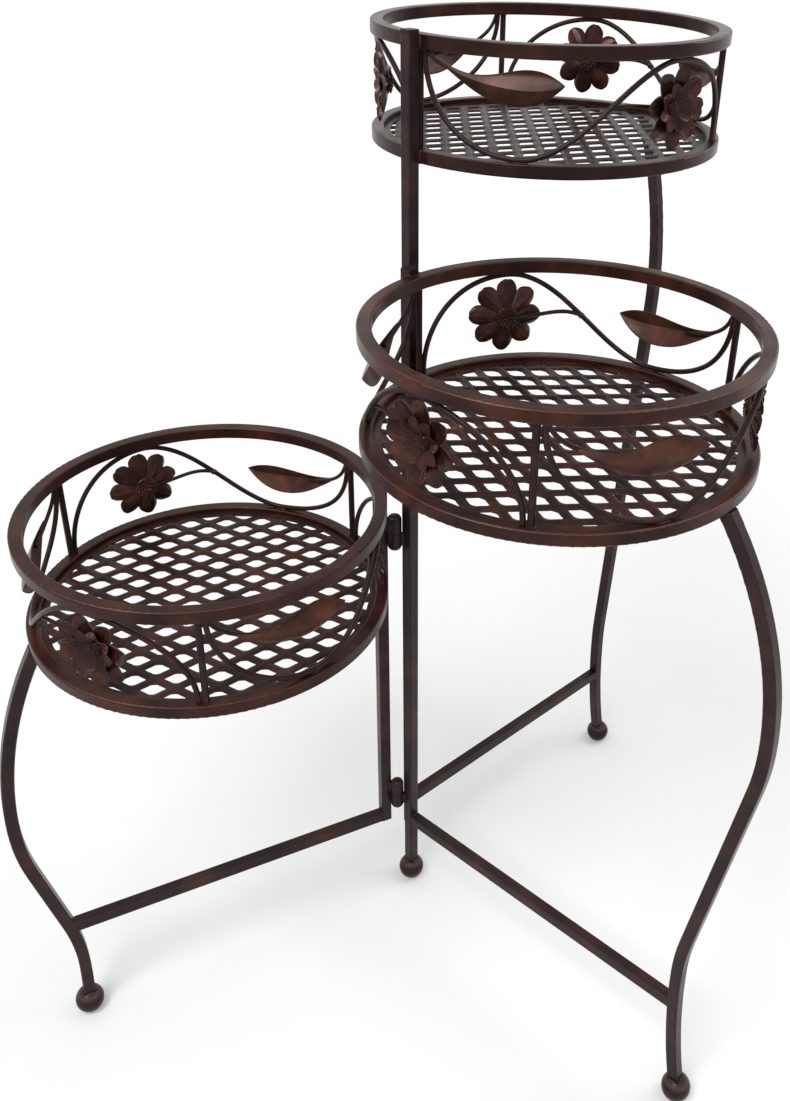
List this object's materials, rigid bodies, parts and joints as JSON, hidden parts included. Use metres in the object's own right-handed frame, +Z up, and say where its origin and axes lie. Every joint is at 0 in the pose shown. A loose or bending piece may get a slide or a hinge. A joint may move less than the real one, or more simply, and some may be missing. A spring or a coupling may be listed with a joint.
{
  "type": "folding plant stand",
  "caption": "Folding metal plant stand of hinged square-tube wings, each holding a round lattice-floored tray walled with waved wires, flowers and leaves.",
  "frame": {"origin": "on the floor, on the axis of the long post that carries the highest tray", "axes": "+Z up along the post; -Y is the front, +X to the right of a person who faces the stand"},
  "size_m": [0.5775, 0.5025, 0.835],
  "materials": {
    "frame": "dark antique bronze paint on square steel tube, semi-gloss",
    "wire": "dark antique bronze paint on round steel wire",
    "pressed_ornament": "dark bronze paint on pressed steel sheet, rubbed reddish on raised parts",
    "lattice_floor": "dark antique bronze paint on pierced sheet",
    "hinge_pin": "plain steel pin inside the hinge barrel",
    "end_plug": "dark moulded end plug"
  },
  "bodies": {
    "upper_wing": {"upper_upright": "frame", "upper_leg": "frame", "upper_leg_foot": "frame", "upper_crossbar": "frame", "upper_top_ring": "frame", "upper_bottom_ring": "frame", "upper_floor": "lattice_floor", "upper_upright_plug": "end_plug", "upper_rods": "wire", "upper_vines": "wire", "upper_petals": "pressed_ornament", "upper_flower_hearts": "pressed_ornament", "upper_stems": "wire", "upper_leaves": "pressed_ornament", "upper_upright_foot": "frame", "middle_hinge_base_knuckles": "frame", "middle_hinge_pins": "hinge_pin"},
    "middle_wing": {"middle_upright": "frame", "middle_leg": "frame", "middle_leg_foot": "frame", "middle_crossbar": "frame", "middle_top_ring": "frame", "middle_bottom_ring": "frame", "middle_floor": "lattice_floor", "middle_upright_plug": "end_plug", "middle_rods": "wire", "middle_vines": "wire", "middle_petals": "pressed_ornament", "middle_flower_hearts": "pressed_ornament", "middle_stems": "wire", "middle_leaves": "pressed_ornament", "middle_hinge_top_knuckles": "frame", "lower_hinge_base_knuckles": "frame", "lower_hinge_pins": "hinge_pin"},
    "lower_wing": {"lower_upright": "frame", "lower_leg": "frame", "lower_leg_foot": "frame", "lower_crossbar": "frame", "lower_top_ring": "frame", "lower_bottom_ring": "frame", "lower_floor": "lattice_floor", "lower_upright_plug": "end_plug", "lower_rods": "wire", "lower_vines": "wire", "lower_petals": "pressed_ornament", "lower_flower_hearts": "pressed_ornament", "lower_stems": "wire", "lower_leaves": "pressed_ornament", "lower_hinge_top_knuckles": "frame"}
  },
  "joints": [
    {"name": "middle_fold", "type": "hinge", "parent": "upper_wing", "child": "middle_wing", "pos_m": [-0.0009, -0.01294, 0.142], "axis": [0, 0, 1], "range_deg": [-30, 82]},
    {"name": "lower_fold", "type": "hinge", "parent": "middle_wing", "child": "lower_wing", "pos_m": [-0.01365, -0.02614, 0.142], "axis": [0, 0, 1], "range_deg": [-45, 109]}
  ]
}
